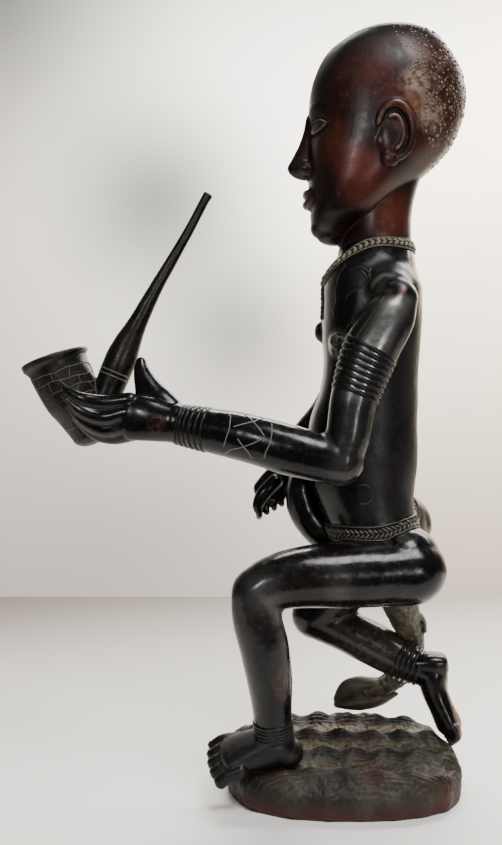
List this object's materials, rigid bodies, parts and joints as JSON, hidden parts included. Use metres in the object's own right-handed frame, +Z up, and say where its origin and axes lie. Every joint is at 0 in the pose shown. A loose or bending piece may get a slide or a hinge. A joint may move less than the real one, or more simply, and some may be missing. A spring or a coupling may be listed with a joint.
{
  "type": "ancestor figure with a pipe",
  "caption": "Half-kneeling man in cast bronze who holds out an elbow tobacco pipe, with braided collar and belt, on a ridged mound.",
  "frame": {"origin": "middle of the mound's flat underside", "axes": "+Z up, the figure looks towards -X, its left side is towards -Y"},
  "size_m": [0.3511, 0.1609, 0.6071],
  "materials": {
    "figure_bronze": "black-brown patina, satin, worn reddish brown on the head",
    "pipe_bronze": "grey-brown patina, satin"
  },
  "bodies": {
    "root": {"figure": "figure_bronze", "pipe": "pipe_bronze"}
  },
  "joints": []
}
